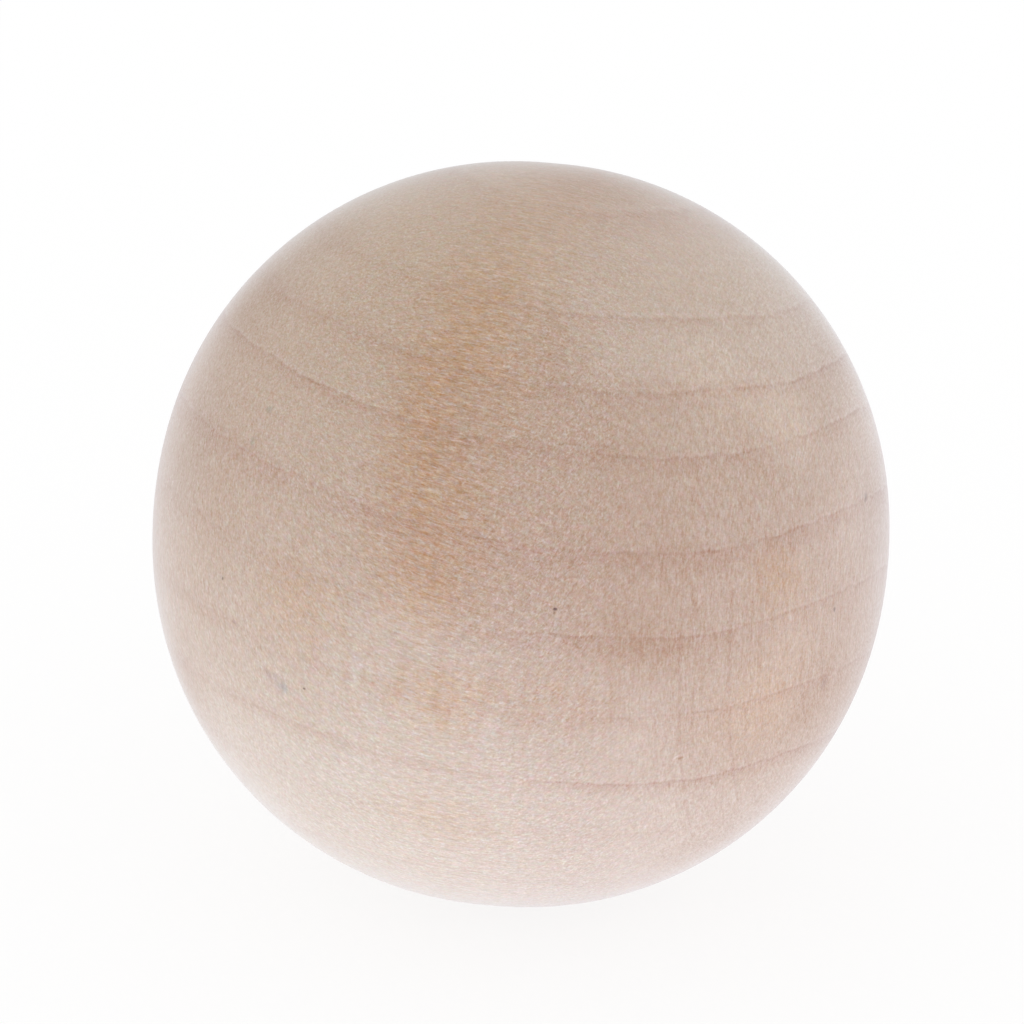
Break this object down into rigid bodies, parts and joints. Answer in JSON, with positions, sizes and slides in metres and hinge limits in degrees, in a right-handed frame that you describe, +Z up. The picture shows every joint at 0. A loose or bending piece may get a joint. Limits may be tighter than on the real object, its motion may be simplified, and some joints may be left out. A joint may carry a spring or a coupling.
{
  "type": "wooden ball",
  "caption": "Plain solid ball turned from pale close-grained hardwood, smooth and unfinished, a touch shorter along the grain than across it.",
  "frame": {"origin": "centre of the ball", "axes": "+X along the turning axis, nearly along the grain; +Z up"},
  "size_m": [0.0392, 0.04, 0.04],
  "materials": {
    "pale_hardwood": "sanded smooth, bare"
  },
  "bodies": {
    "root": {"ball": "pale_hardwood"}
  },
  "joints": []
}
